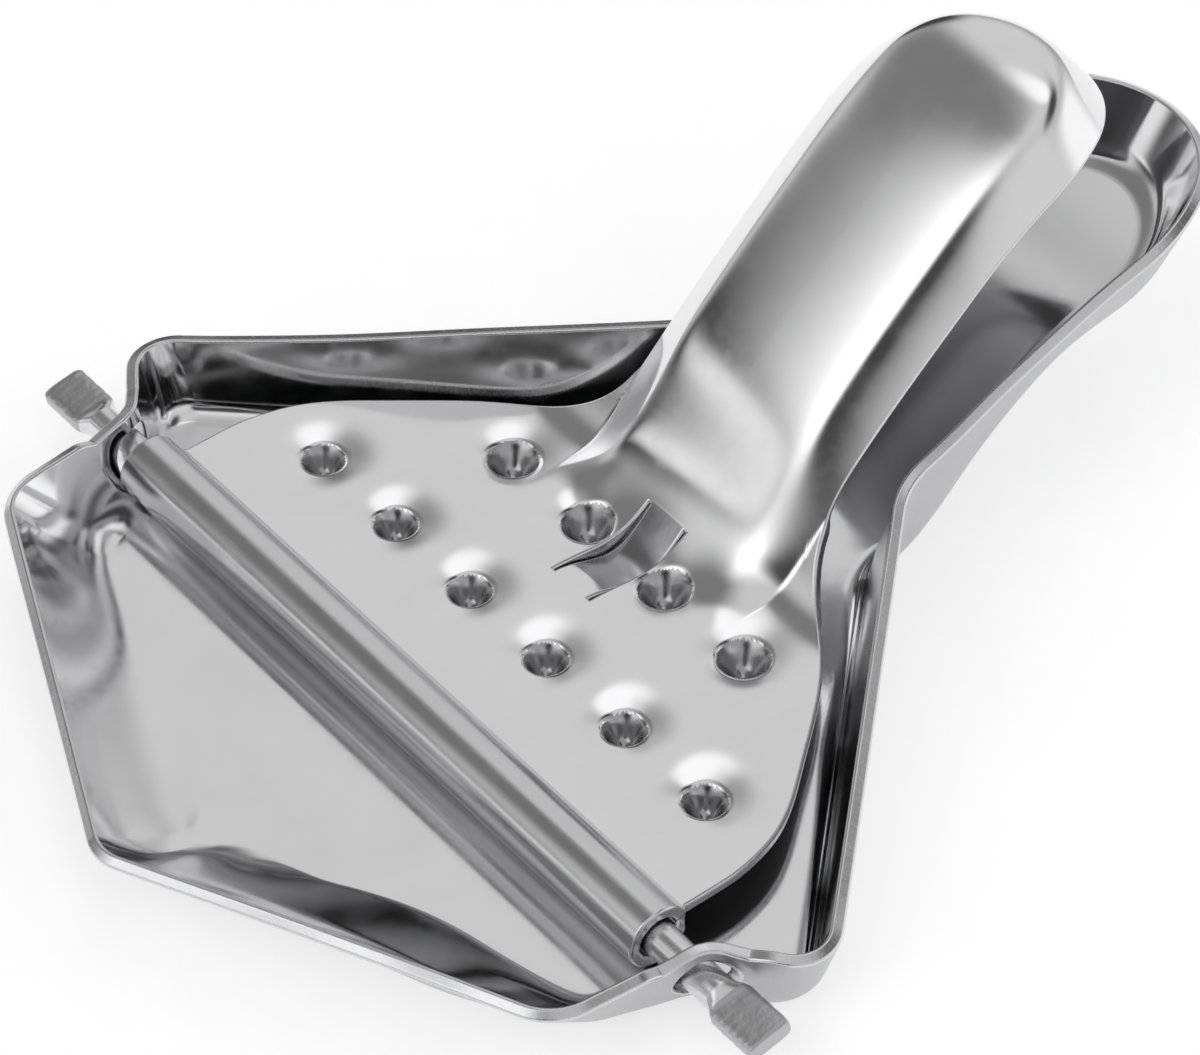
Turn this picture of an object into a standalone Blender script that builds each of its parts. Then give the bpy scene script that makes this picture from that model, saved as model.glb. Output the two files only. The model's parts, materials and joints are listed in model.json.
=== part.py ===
"""Wedge press of pressed sheet steel: tray with lower handle, hinged press plate, pin.

Units are metres, +Z is up, +Y runs from the hinge to the handles and +X runs along the
hinge pin.  The tray stands on the flat underside of its floor at z = 0.
"""
import math

import bmesh
import bpy
import numpy as np
from mathutils import Vector

MM = 0.001

# ---- hinge -------------------------------------------------------------------------------
HINGE_HEIGHT = 3.15 * MM
PIN_RADIUS = 0.9 * MM
PIN_HOLE_RADIUS = 1.5 * MM
PIN_HALF_LENGTH = 33.5 * MM
PIN_SHIFT = -0.5 * MM
PIN_ROUND_HALF = 29.2 * MM
PIN_FLAT_HALF = 30.2 * MM
PIN_FLAT_WIDTH = 2.9 * MM
PIN_FLAT_THICKNESS = 1.25 * MM
PIN_FLAT_ROLL = math.radians(11.0)
PIN_SEGMENTS = 24

# ---- tray --------------------------------------------------------------------------------
TRAY_SHEET = 0.8 * MM
FLOOR_FILLET = 1.2 * MM
FRONT_BOW = 2.0 * MM
# rim and floor corners of the right half: x, y, corner radius
RIM_APEX = (0.0, -20.9, 2.4)
RIM_CORNERS = (
    (25.9, -9.4, 3.2),
    (26.8, 0.6, 3.0),
    (32.1, 4.5, 2.0),
    (8.8, 29.9, 6.0),
    (7.95, 38.5, 30.0),
)
RIM_CAP = (8.45, 49.0, 9.9)
FLOOR_APEX = (0.0, -15.6, 5.0)
FLOOR_CORNERS = (
    (23.4, -5.2, 3.0),
    (25.9, 0.6, 3.0),
    (30.3, 4.8, 2.2),
    (7.3, 29.1, 6.0),
    (6.35, 38.5, 30.0),
)
FLOOR_CAP = (6.75, 48.8, 7.6)
EDGE_STEPS = (4, 2, 1, 6, 3, 3)
CORNER_STEPS = 4
APEX_STEPS = 2
CAP_STEPS = 9
FLOOR_COLUMNS = 4
FILLET_STEPS = 3
WALL_STEPS = 2
# the sheet of the floor is slightly crowned, so that the tray stands on three low places
FLOOR_CROWN = 0.2 * MM
LOW_PLACES = ((28.6, 6.2), (-28.6, 6.2), (0.0, 25.5))
LOW_PLACE_REACH = 6.0 * MM
# height of the rim and of the floor along the tray: y, z
RIM_STATIONS = ((-21.5, 4.6), (-17.0, 5.1), (-9.4, 5.8), (0.0, 5.8), (5.0, 5.8), (12.0, 6.3),
                (20.0, 7.5), (28.5, 8.8), (34.0, 9.9), (38.7, 11.4), (43.0, 13.3),
                (46.0, 14.6), (49.0, 15.6), (52.0, 16.3), (55.0, 16.8), (59.5, 16.9))
FLOOR_STATIONS = ((29.0, 0.8), (31.5, 0.95), (33.5, 1.9), (36.5, 4.2), (39.5, 6.6),
                  (42.5, 8.9), (44.7, 10.0), (48.6, 10.9), (52.0, 11.7), (56.6, 12.7))

# ---- press plate -------------------------------------------------------------------------
PLATE_SHEET = 0.75 * MM
PLATE_SHIFT = -0.8 * MM
PLATE_TOP = 3.5 * MM
BARREL_INNER = 1.3 * MM
BARREL_HALF = 24.3 * MM
BARREL_FREE_EDGE = math.radians(20.0)
BARREL_STEPS = 18
BEND_RADIUS = 1.1 * MM
BEND_STEPS = 3
HANDLE_HALF = 8.5 * MM
CAP_CENTRE = 41.8 * MM
CAP_LENGTH = 9.6 * MM
DOME_FACTORS = (0.0, 0.22, 0.42, 0.56, 0.65, 0.72, 0.80, 0.90, 1.0)
CAP_FACTORS = (0.15, 0.3, 0.45, 0.56, 0.66, 0.74, 0.84, 0.92, 1.0)
SHOULDER = 0.70
SHOULDER_SOFTNESS = 0.10
CROWN = 0.09
# half width of the plate and handle: y, x
WIDTH_STATIONS = ((2.3, 23.6), (5.7, 23.6), (8.0, 23.25), (10.0, 22.6), (12.0, 21.4),
                  (14.5, 19.4), (17.0, 17.4), (19.5, 15.2), (21.3, 13.1), (22.9, 10.5),
                  (24.6, 8.9), (26.6, 8.45), (30.0, 8.4), (36.0, 8.45), (41.8, 8.5))
PLATE_ROWS = (3.3, 4.8, 6.6, 8.6, 10.6, 12.8, 15.0, 17.0, 18.6, 19.9, 21.0, 22.0, 23.0, 24.0,
              25.2, 26.6, 28.4, 30.6, 33.4, 36.6, 39.4, 41.8)
# height of the sheet edge and rise of the dome above it: y, z
EDGE_STATIONS = ((20.0, 3.5), (21.6, 3.6), (23.0, 4.7), (24.2, 6.1), (25.6, 7.9), (27.5, 10.0),
                 (29.5, 12.0), (32.3, 14.7), (35.1, 17.3), (38.0, 19.9), (40.9, 22.0),
                 (43.7, 23.4), (46.5, 24.0), (49.4, 23.9), (51.8, 23.2))
RISE_STATIONS = ((17.6, 0.0), (19.0, 0.25), (20.3, 0.9), (22.0, 2.0), (24.0, 2.9), (27.0, 3.5),
                 (31.0, 3.6), (52.0, 3.6))

# ---- teeth and lanced strip --------------------------------------------------------------
TOOTH_PITCH = 7.2 * MM
FRONT_ROW_Y = 8.5 * MM
BACK_ROW_Y = 17.4 * MM
FRONT_TEETH = 6
BACK_TEETH = 4
FRONT_PIT_RADIUS = 1.5 * MM
BACK_PIT_RADIUS = 1.8 * MM
TOOTH_FOOT = 1.12 * MM
PIT_FLOOR = 1.75 * MM
TOOTH_SEGMENTS = 14
SLOT_HALF = 1.6 * MM
SLOT_START = 13.1 * MM
SLOT_END = 20.6 * MM
STRIP_HALF = 1.2 * MM
STRIP_LAP = 0.7 * MM
STRIP_DROP = 1.35 * MM
STRIP_INSET = 0.06 * MM
STRIP_STEPS = 12

TRAY_COLOUR = (0.72, 0.72, 0.73, 1.0)
PLATE_COLOUR = (0.78, 0.78, 0.79, 1.0)
PIN_COLOUR = (0.62, 0.62, 0.63, 1.0)


def clear_scene():
    for item in list(bpy.data.objects):
        bpy.data.objects.remove(item, do_unlink=True)


def collection(name):
    made = bpy.data.collections.new(name)
    bpy.context.scene.collection.children.link(made)
    return made


def steel(name, colour, roughness):
    material = bpy.data.materials.new(name)
    material.use_nodes = True
    shader = material.node_tree.nodes["Principled BSDF"]
    shader.inputs["Base Color"].default_value = colour
    shader.inputs["Metallic"].default_value = 1.0
    shader.inputs["Roughness"].default_value = roughness
    return material


def smooth(stations, value):
    """Cubic interpolation through (position, height) stations given in millimetres."""
    xs = [s[0] for s in stations]
    ys = [s[1] for s in stations]
    v = value / MM
    if v <= xs[0]:
        return ys[0] * MM
    if v >= xs[-1]:
        return ys[-1] * MM
    i = int(np.searchsorted(xs, v, side="right")) - 1
    slopes = [(ys[k + 1] - ys[k]) / (xs[k + 1] - xs[k]) for k in range(len(xs) - 1)]

    def tangent(k):
        if k == 0 or k == len(xs) - 1:
            return 0.0 if k == 0 else slopes[-1]
        if slopes[k - 1] * slopes[k] <= 0.0:
            return 0.0
        return 2.0 * slopes[k - 1] * slopes[k] / (slopes[k - 1] + slopes[k])

    h = xs[i + 1] - xs[i]
    t = (v - xs[i]) / h
    a = ys[i] * (2 * t ** 3 - 3 * t ** 2 + 1) + h * tangent(i) * (t ** 3 - 2 * t ** 2 + t)
    b = ys[i + 1] * (3 * t ** 2 - 2 * t ** 3) + h * tangent(i + 1) * (t ** 3 - t ** 2)
    return (a + b) * MM


def sheet_object(name, rows, home, material):
    """Open half sheet from rows of points; the first point of each row lies at x = 0."""
    mesh = bpy.data.meshes.new(name)
    work = bmesh.new()
    grid = [[work.verts.new(p) for p in row] for row in rows]
    for lower, upper in zip(grid[:-1], grid[1:]):
        for i in range(len(lower) - 1):
            work.faces.new((lower[i], lower[i + 1], upper[i + 1], upper[i]))
    bmesh.ops.remove_doubles(work, verts=work.verts, dist=0.00002)
    bmesh.ops.dissolve_degenerate(work, edges=work.edges, dist=0.00001)
    bmesh.ops.recalc_face_normals(work, faces=work.faces)
    if sum(f.normal.z * f.calc_area() for f in work.faces) < 0.0:
        bmesh.ops.reverse_faces(work, faces=work.faces)
    work.to_mesh(mesh)
    work.free()
    made = bpy.data.objects.new(name, mesh)
    home.objects.link(made)
    mesh.materials.append(material)
    return made


def mirror_half(target):
    tool = target.modifiers.new("Mirror", "MIRROR")
    tool.use_axis = (True, False, False)
    tool.use_clip = True
    tool.merge_threshold = 0.00001


def give_thickness(target, thickness):
    tool = target.modifiers.new("Solidify", "SOLIDIFY")
    tool.thickness = thickness
    tool.offset = -1.0
    tool.use_even_offset = True
    tool.use_rim = True


def boolean(target, tool_object, operation):
    tool = target.modifiers.new(operation.title(), "BOOLEAN")
    tool.operation = operation
    tool.solver = "EXACT"
    tool.object = tool_object
    tool_object.hide_render = True
    tool_object.display_type = "WIRE"


def shade(target, angle):
    target.data.shade_smooth()
    target.data.set_sharp_from_angle(angle=angle)


def mesh_object(name, work, home, material=None):
    bmesh.ops.recalc_face_normals(work, faces=work.faces)
    mesh = bpy.data.meshes.new(name)
    work.to_mesh(mesh)
    work.free()
    made = bpy.data.objects.new(name, mesh)
    home.objects.link(made)
    if material is not None:
        mesh.materials.append(material)
    return made


# ---- tray --------------------------------------------------------------------------------

def corner_arc(before, corner, after, radius, steps):
    """Points of a round corner between two straight edges."""
    c = Vector(corner)
    a = (Vector(before) - c).normalized()
    b = (Vector(after) - c).normalized()
    half = a.angle(b) / 2.0
    reach = radius / math.tan(half)
    centre = c + (a + b).normalized() * (radius / math.sin(half))
    start = c + a * reach
    end = c + b * reach
    points = []
    for i in range(steps + 1):
        p = start.lerp(end, i / steps)
        points.append(centre + (p - centre).normalized() * radius)
    return points


def outline(apex, corners, cap):
    """Right half outline from the apex to the handle end, one point per station."""
    tip = Vector((0.0, apex[1]))
    nodes = [Vector((c[0], c[1])) for c in corners]
    radii = [c[2] for c in corners]
    cap_start = Vector((cap[0], cap[1]))
    twin = Vector((-nodes[0].x, nodes[0].y))
    points = corner_arc(twin, tip, nodes[0], apex[2], 2 * APEX_STEPS)[APEX_STEPS:]
    chain = [tip] + nodes + [cap_start]
    for i, radius in enumerate(radii):
        arc = corner_arc(chain[i], chain[i + 1], chain[i + 2], radius, CORNER_STEPS)
        steps = EDGE_STEPS[i]
        points += [points[-1].lerp(arc[0], k / steps) for k in range(1, steps)]
        points += arc
    steps = EDGE_STEPS[-1]
    points += [points[-1].lerp(cap_start, k / steps) for k in range(1, steps)]
    for k in range(CAP_STEPS + 1):
        turn = 0.5 * math.pi * k / CAP_STEPS
        points.append(Vector((cap[0] * math.cos(turn), cap[1] + cap[2] * math.sin(turn))))
    points[0].x = 0.0
    points[-1].x = 0.0
    return [p * MM for p in points]


def bowed(points):
    """Floor edge of the pour lip: it bows towards the hinge between apex and corner."""
    reach = FLOOR_CORNERS[0][0] * MM
    out = []
    for p in points:
        q = p.copy()
        if p.y < FLOOR_CORNERS[0][1] * MM and p.x < reach:
            q.y += FRONT_BOW * math.sin(math.pi * p.x / reach) ** 1.0
        out.append(q)
    return out


def inward_normals(points):
    """Horizontal unit normals of an outline, pointing towards the centre of the tray."""
    normals = [Vector((0.0, 1.0))]
    for before, here, after in zip(points[:-2], points[1:-1], points[2:]):
        along = ((here - before).normalized() + (after - here).normalized()).normalized()
        normals.append(Vector((-along.y, along.x)))
    normals.append(Vector((0.0, -1.0)))
    return normals


def floor_height(x, y):
    low = 0.0
    for px, py in LOW_PLACES:
        distance = math.hypot(x - px * MM, y - py * MM) / LOW_PLACE_REACH
        low = max(low, math.exp(-distance * distance))
    return smooth(FLOOR_STATIONS, y) + FLOOR_CROWN * (1.0 - low)


def tray_row(rim, edge, normal):
    """One row of the tray: floor from the centre plane, fillet, then wall up to the rim."""
    top = Vector((rim.x, rim.y, smooth(RIM_STATIONS, rim.y)))
    foot = Vector((edge.x, edge.y, floor_height(edge.x, edge.y)))
    reach = FLOOR_FILLET
    if normal.x < 0.0:
        reach = min(reach, 0.6 * edge.x / -normal.x)
    inner = edge + normal * reach
    start = Vector((inner.x, inner.y, floor_height(inner.x, inner.y)))
    rise = foot + (top - foot).normalized() * FLOOR_FILLET
    row = []
    for k in range(FLOOR_COLUMNS):
        x = start.x * k / FLOOR_COLUMNS
        row.append(Vector((x, start.y, floor_height(x, start.y))))
    for k in range(FILLET_STEPS + 1):
        t = k / FILLET_STEPS
        row.append(start * (1 - t) ** 2 + foot * 2 * t * (1 - t) + rise * t ** 2)
    for k in range(1, WALL_STEPS + 1):
        row.append(rise.lerp(top, k / WALL_STEPS))
    if rim.x < 1e-9:
        for p in row:
            p.x = 0.0
    return row


def build_tray(home, tools, material):
    rim = outline(RIM_APEX, RIM_CORNERS, RIM_CAP)
    edge = bowed(outline(FLOOR_APEX, FLOOR_CORNERS, FLOOR_CAP))
    rows = [tray_row(r, e, n) for r, e, n in zip(rim, edge, inward_normals(edge))]
    tray = sheet_object("tray", rows, home, material)
    mirror_half(tray)
    give_thickness(tray, TRAY_SHEET)
    drill = rod("pin_hole_cutter", PIN_HOLE_RADIUS, 40 * MM, tools)
    boolean(tray, drill, "DIFFERENCE")
    shade(tray, math.radians(35))
    return tray


def rod(name, radius, half_length, home):
    work = bmesh.new()
    bmesh.ops.create_cone(work, cap_ends=True, segments=PIN_SEGMENTS, radius1=radius,
                          radius2=radius, depth=2 * half_length)
    for v in work.verts:
        x, y, z = v.co
        v.co = (z, y, x + HINGE_HEIGHT)
    return mesh_object(name, work, home)


# ---- press plate -------------------------------------------------------------------------

def barrel_profile():
    """Inner line of the rolled barrel and the bend into the plate, as (y, z) pairs."""
    drop = (PLATE_TOP - HINGE_HEIGHT) - BEND_RADIUS
    reach = BARREL_INNER + BEND_RADIUS
    join = math.asin(drop / reach)
    line = []
    for k in range(BARREL_STEPS + 1):
        turn = BARREL_FREE_EDGE + (2 * math.pi + join - BARREL_FREE_EDGE) * k / BARREL_STEPS
        line.append((BARREL_INNER * math.cos(turn), BARREL_INNER * math.sin(turn)))
    centre_y = reach * math.cos(join)
    for k in range(1, BEND_STEPS + 1):
        turn = (math.pi + join) + (0.5 * math.pi - math.pi - join) * k / BEND_STEPS
        line.append((centre_y + BEND_RADIUS * math.cos(turn),
                     drop + BEND_RADIUS * math.sin(turn)))
    return line


def dome(s):
    """Share of the dome height at relative distance s from the handle centre line."""
    if s >= 1.0:
        return 0.0
    scale = 1.0 - SHOULDER

    def ramp(t):
        return 0.5 * (t + math.sqrt(t * t + SHOULDER_SOFTNESS ** 2 / scale))

    low = ramp(-SHOULDER / scale)
    fall = (ramp((s - SHOULDER) / scale) - low) / (ramp(1.0) - low)
    return 1.0 - CROWN * s * s - (1.0 - CROWN) * fall


def reach_factor(x, y):
    across = x / HANDLE_HALF
    if y <= CAP_CENTRE:
        return abs(across)
    return math.hypot(across, (y - CAP_CENTRE) / CAP_LENGTH)


def plate_height(x, y):
    edge = smooth(EDGE_STATIONS, y)
    return edge + smooth(RISE_STATIONS, y) * dome(reach_factor(x, y))


def plate_rows():
    rows = []
    profile = barrel_profile()
    for index, (y, z) in enumerate(profile):
        width = BARREL_HALF
        if index > BARREL_STEPS:
            share = (index - BARREL_STEPS) / (BEND_STEPS + 1)
            width += (smooth(WIDTH_STATIONS, 0.003) - BARREL_HALF) * share
        rows.append([Vector((f * width, y, z + HINGE_HEIGHT)) for f in DOME_FACTORS])
    for station in PLATE_ROWS:
        y = station * MM
        width = smooth(WIDTH_STATIONS, y)
        row = []
        for f in DOME_FACTORS:
            x = f * width
            row.append(Vector((x, y, plate_height(x, y))))
        rows.append(row)
    for v in CAP_FACTORS:
        row = []
        for f in DOME_FACTORS:
            x = f * HANDLE_HALF * math.sqrt(1.0 - 0.5 * v * v)
            y = CAP_CENTRE + CAP_LENGTH * v * math.sqrt(1.0 - 0.5 * f * f)
            row.append(Vector((x, y, plate_height(x, y))))
        rows.append(row)
    return rows


def tooth_places():
    places = []
    for k in range(FRONT_TEETH):
        x = (k - 0.5 * (FRONT_TEETH - 1)) * TOOTH_PITCH
        places.append((x, FRONT_ROW_Y, FRONT_PIT_RADIUS))
    for k in range(BACK_TEETH):
        x = (k - 0.5 * (BACK_TEETH - 1)) * TOOTH_PITCH
        places.append((x, BACK_ROW_Y, BACK_PIT_RADIUS))
    return places


def turned(work, x, y, profile):
    """Closed round body from (radius, z) pairs running from axis to axis."""
    rings = []
    for radius, z in profile:
        if radius <= 0.0:
            rings.append([work.verts.new((x, y, z))])
            continue
        ring = []
        for k in range(TOOTH_SEGMENTS):
            turn = 2 * math.pi * k / TOOTH_SEGMENTS
            ring.append(work.verts.new((x + radius * math.cos(turn),
                                        y + radius * math.sin(turn), z)))
        rings.append(ring)
    for a, b in zip(rings[:-1], rings[1:]):
        for k in range(TOOTH_SEGMENTS):
            n = (k + 1) % TOOTH_SEGMENTS
            loop = [a[k % len(a)], a[n % len(a)], b[n % len(b)], b[k % len(b)]]
            clean = []
            for v in loop:
                if v not in clean:
                    clean.append(v)
            work.faces.new(clean)


def tooth_bodies(home):
    work = bmesh.new()
    middle = PLATE_TOP - 0.5 * PLATE_SHEET
    for x, y, pit in tooth_places():
        wide = pit + 0.75 * MM
        turned(work, x + PLATE_SHIFT, y, (
            (0.0, middle), (wide, middle), (pit + 0.25 * MM, PLATE_TOP - PLATE_SHEET - 0.1 * MM),
            (0.78 * pit, TOOTH_FOOT + 0.45 * MM), (0.42 * pit, TOOTH_FOOT),
            (0.0, TOOTH_FOOT)))
    return mesh_object("tooth_bodies", work, home)


def tooth_pits(home):
    work = bmesh.new()
    for x, y, pit in tooth_places():
        turned(work, x + PLATE_SHIFT, y, (
            (0.0, PLATE_TOP + 0.5 * MM), (pit + 0.45 * MM, PLATE_TOP + 0.3 * MM),
            (pit, PLATE_TOP - 0.2 * MM), (0.45 * pit, PIT_FLOOR + 0.3 * MM),
            (0.2 * pit, PIT_FLOOR), (0.0, PIT_FLOOR)))
    return mesh_object("tooth_pits", work, home)


def slot_cutter(home):
    work = bmesh.new()
    bmesh.ops.create_cube(work, size=1.0)
    for v in work.verts:
        x = v.co.x * 2 * SLOT_HALF + PLATE_SHIFT
        y = 0.5 * (SLOT_START + SLOT_END) + v.co.y * (SLOT_END - SLOT_START)
        z = 3.0 * MM + v.co.z * 6.0 * MM
        v.co = (x, y, z)
    return mesh_object("slot_cutter", work, home)


def strip_body(home):
    """Strip between the two slits, pressed down in the middle and joined at both ends."""
    start = SLOT_START - STRIP_LAP
    end = SLOT_END + STRIP_LAP
    work = bmesh.new()
    sections = []
    for k in range(STRIP_STEPS + 1):
        y = start + (end - start) * k / STRIP_STEPS
        bow = math.sin(math.pi * min(max((y - SLOT_START) / (SLOT_END - SLOT_START), 0), 1))
        top = plate_height(0.0, y) - STRIP_INSET - STRIP_DROP * bow ** 1.3
        slope = (plate_height(0.0, y + 0.1 * MM) - plate_height(0.0, y)) / (0.1 * MM)
        deep = (PLATE_SHEET - 2 * STRIP_INSET) * math.sqrt(1.0 + slope * slope) * 0.97
        low = top - deep
        left = PLATE_SHIFT - STRIP_HALF
        right = PLATE_SHIFT + STRIP_HALF
        sections.append([work.verts.new(p) for p in (
            (left, y, top), (right, y, top), (right, y, low), (left, y, low))])
    for a, b in zip(sections[:-1], sections[1:]):
        for i in range(4):
            n = (i + 1) % 4
            work.faces.new((a[i], a[n], b[n], b[i]))
    work.faces.new(sections[0])
    work.faces.new(sections[-1])
    return mesh_object("strip_body", work, home)


def build_plate(home, tools, material):
    rows = plate_rows()
    plate = sheet_object("press_plate", rows, home, material)
    mirror_half(plate)
    give_thickness(plate, PLATE_SHEET)
    bake_modifiers(plate)
    for v in plate.data.vertices:
        v.co.x += PLATE_SHIFT
    boolean(plate, tooth_bodies(tools), "UNION")
    boolean(plate, tooth_pits(tools), "DIFFERENCE")
    boolean(plate, slot_cutter(tools), "DIFFERENCE")
    boolean(plate, strip_body(tools), "UNION")
    shade(plate, math.radians(35))
    place_origin(plate, Vector((0.0, 0.0, HINGE_HEIGHT)))
    return plate


def bake_modifiers(target):
    graph = bpy.context.evaluated_depsgraph_get()
    mesh = bpy.data.meshes.new_from_object(target.evaluated_get(graph))
    old = target.data
    target.modifiers.clear()
    target.data = mesh
    mesh.name = target.name
    bpy.data.meshes.remove(old)


def place_origin(target, point):
    for v in target.data.vertices:
        v.co -= point
    target.location = point


# ---- pin ---------------------------------------------------------------------------------

def pin_section(x, flat):
    """Section of the pin: round where flat = 0, a wide thin bar where flat = 1."""
    half_wide = PIN_RADIUS + (0.5 * PIN_FLAT_WIDTH - PIN_RADIUS) * flat
    half_thick = PIN_RADIUS + (0.5 * PIN_FLAT_THICKNESS - PIN_RADIUS) * flat
    power = 1.0 - 0.55 * flat
    points = []
    for k in range(PIN_SEGMENTS):
        turn = 2 * math.pi * (k + 0.5) / PIN_SEGMENTS
        c = math.copysign(abs(math.cos(turn)) ** power, math.cos(turn)) * half_wide
        s = math.copysign(abs(math.sin(turn)) ** power, math.sin(turn)) * half_thick
        y = c * math.cos(PIN_FLAT_ROLL) - s * math.sin(PIN_FLAT_ROLL)
        z = c * math.sin(PIN_FLAT_ROLL) + s * math.cos(PIN_FLAT_ROLL)
        points.append(Vector((x + PIN_SHIFT, y, z)))
    return points


def build_pin(home, material):
    stations = ((PIN_HALF_LENGTH, 0.88), (PIN_HALF_LENGTH - 0.3 * MM, 1.0),
                (PIN_FLAT_HALF + 0.5 * MM, 1.0), (PIN_FLAT_HALF, 0.72),
                (PIN_ROUND_HALF, 0.0), (9.0 * MM, 0.0))
    line = [(-x, f) for x, f in stations] + [(x, f) for x, f in reversed(stations)]
    work = bmesh.new()
    rings = [[work.verts.new(p) for p in pin_section(x, f)] for x, f in line]
    for a, b in zip(rings[:-1], rings[1:]):
        for k in range(PIN_SEGMENTS):
            n = (k + 1) % PIN_SEGMENTS
            work.faces.new((a[k], a[n], b[n], b[k]))
    work.faces.new(rings[0])
    work.faces.new(rings[-1])
    pin = mesh_object("hinge_pin", work, home, material)
    pin.location = (0.0, 0.0, HINGE_HEIGHT)
    shade(pin, math.radians(35))
    return pin


def main():
    clear_scene()
    home = collection("wedge_press")
    tools = collection("cutters")
    build_tray(home, tools, steel("tray_steel", TRAY_COLOUR, 0.12))
    build_plate(home, tools, steel("plate_steel", PLATE_COLOUR, 0.10))
    build_pin(home, steel("pin_steel", PIN_COLOUR, 0.35))


main()
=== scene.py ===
"""Wedge press of polished sheet steel: tray with lower handle, toothed press plate, pin.

Lengths in the shape constants are millimetres and become metres when a mesh is made.
+X runs along the hinge pin, +Y from the hinge to the handles, +Z is up.
"""
import json
import math

import bpy
import numpy as np
from mathutils import Matrix, Vector


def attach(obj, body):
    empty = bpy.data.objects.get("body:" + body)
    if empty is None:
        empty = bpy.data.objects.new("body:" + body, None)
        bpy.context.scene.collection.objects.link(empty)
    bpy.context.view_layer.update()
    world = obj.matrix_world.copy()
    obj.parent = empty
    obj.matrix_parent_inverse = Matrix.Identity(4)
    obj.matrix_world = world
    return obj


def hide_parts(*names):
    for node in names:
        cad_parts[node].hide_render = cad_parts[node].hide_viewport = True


MM = 0.001

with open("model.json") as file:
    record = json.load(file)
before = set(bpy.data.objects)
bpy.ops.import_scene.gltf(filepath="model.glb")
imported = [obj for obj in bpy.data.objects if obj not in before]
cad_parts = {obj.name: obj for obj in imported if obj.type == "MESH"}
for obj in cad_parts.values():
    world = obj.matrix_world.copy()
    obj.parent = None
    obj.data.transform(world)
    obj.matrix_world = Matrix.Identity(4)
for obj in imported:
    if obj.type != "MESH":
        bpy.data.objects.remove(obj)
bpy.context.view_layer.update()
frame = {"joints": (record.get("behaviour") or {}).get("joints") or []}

HINGE = next(j for j in frame["joints"] if j["name"] == "plate_hinge")["pos_m"]
HINGE_Z = HINGE[2] / MM

# ---- tray --------------------------------------------------------------------------------
TRAY_SHEET = 0.8
FLOOR_FILLET = 1.2
FRONT_BOW = 2.0          # how far the near foot of the front ramp swings in
RIM_APEX = (0.0, -20.9, 2.4)
RIM_CORNERS = ((25.9, -9.4, 3.2), (26.8, 0.6, 3.0), (32.1, 4.5, 2.0), (8.8, 29.9, 6.0),
               (7.95, 38.5, 30.0))
RIM_CAP = (8.45, 49.0, 9.9)
FLOOR_APEX = (0.0, -15.6, 5.0)
FLOOR_CORNERS = ((23.4, -5.2, 3.0), (25.9, 0.6, 3.0), (30.3, 4.8, 2.2), (7.3, 29.1, 6.0),
                 (6.35, 38.5, 30.0))
FLOOR_CAP = (6.75, 48.8, 7.6)
EDGE_STEPS = (34, 30, 12, 70, 24, 30)
CORNER_STEPS = 16
APEX_STEPS = 10
CAP_STEPS = 44
FLOOR_COLUMNS = 14
FILLET_STEPS = 12
WALL_STEPS = 20
RIM_STATIONS = ((-21.5, 4.6), (-17.0, 5.1), (-9.4, 5.8), (0.0, 5.8), (5.0, 5.8), (12.0, 6.3),
                (20.0, 7.5), (28.5, 8.8), (34.0, 9.9), (38.7, 11.4), (43.0, 13.3),
                (46.0, 14.6), (49.0, 15.6), (52.0, 16.3), (55.0, 16.8), (59.5, 16.9))
FLOOR_STATIONS = ((29.0, 0.8), (31.5, 0.95), (33.5, 1.9), (36.5, 4.2), (39.5, 6.6),
                  (42.5, 8.9), (44.7, 10.0), (48.6, 10.9), (52.0, 11.7), (56.6, 12.7))
RIM_SOFTNESS = 1.0
FLOOR_SOFTNESS = 0.7
MIDDLE_SHARE = 0.6       # a fillet or ramp ends at this share of the way to the middle line
HOLE_RADIUS = 1.7        # before the rounding of its edge
HOLE_BLEND = 1.7         # outer end of the cells that bend towards the hole, in hole radii
HOLE_ZONE = 4.0          # rows of the walls this close to the hinge are looked at
WALL_X = 20.0            # the waist walls lie outside this
DRILL_FACING = (0.3, 0.5)
STEEPEST_FACING = 0.8    # keeps the drilled sheet from growing thick where the wall leans
LOWEST = 0.004

# ---- front ramps -------------------------------------------------------------------------
NEAR_RAMP_REACH = 0.9
NEAR_RAMP_SLOPES = (math.tan(math.radians(26.5)), math.tan(math.radians(31.0)))
NEAR_RAMP_FOOT = 0.12
NEAR_LIP = 0.17                    # share of the ramp that the upturned lip takes
NEAR_RAMP_START = (0.0, 8.0)       # x over which the far shape turns into the near one
NEAR_RAMP_FADE = (17.5, 24.5)      # x over which the ramp turns into the ordinary wall
FAR_RAMP_REACH = 4.2
FAR_RAMP_POWER = 1.9
FAR_REACH_FADE = (5.0, 24.0)
FAR_RAMP_FADE = (21.5, 25.6)
TIP_REACH = 1.6
TIP_REACH_GROWTH = 0.5

# ---- press plate -------------------------------------------------------------------------
PLATE_SHEET = 0.75
PLATE_SHIFT = -0.8
PLATE_TOP = 3.5
BARREL_INNER = 1.3
BARREL_HALF = 24.3
BARREL_FREE_EDGE = math.radians(20.0)
BARREL_STEPS = 80
BEND_RADIUS = 1.1
BEND_STEPS = 8
HANDLE_HALF = 8.5
CAP_CENTRE = 41.8
CAP_LENGTH = 9.6
CAP_ROWS = 34
SHOULDER = 0.70          # share of the half width at which the crown turns down
SHOULDER_SOFTNESS = 0.15
CROWN = 0.24
WIDTH_STATIONS = ((2.3, 23.6), (5.7, 23.6), (8.0, 23.25), (10.0, 22.6), (12.0, 21.4),
                  (14.5, 19.4), (17.0, 17.4), (19.5, 15.2), (21.3, 13.1), (22.9, 10.5),
                  (24.6, 8.9), (26.6, 8.45), (30.0, 8.4), (36.0, 8.45), (41.8, 8.5))
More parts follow.
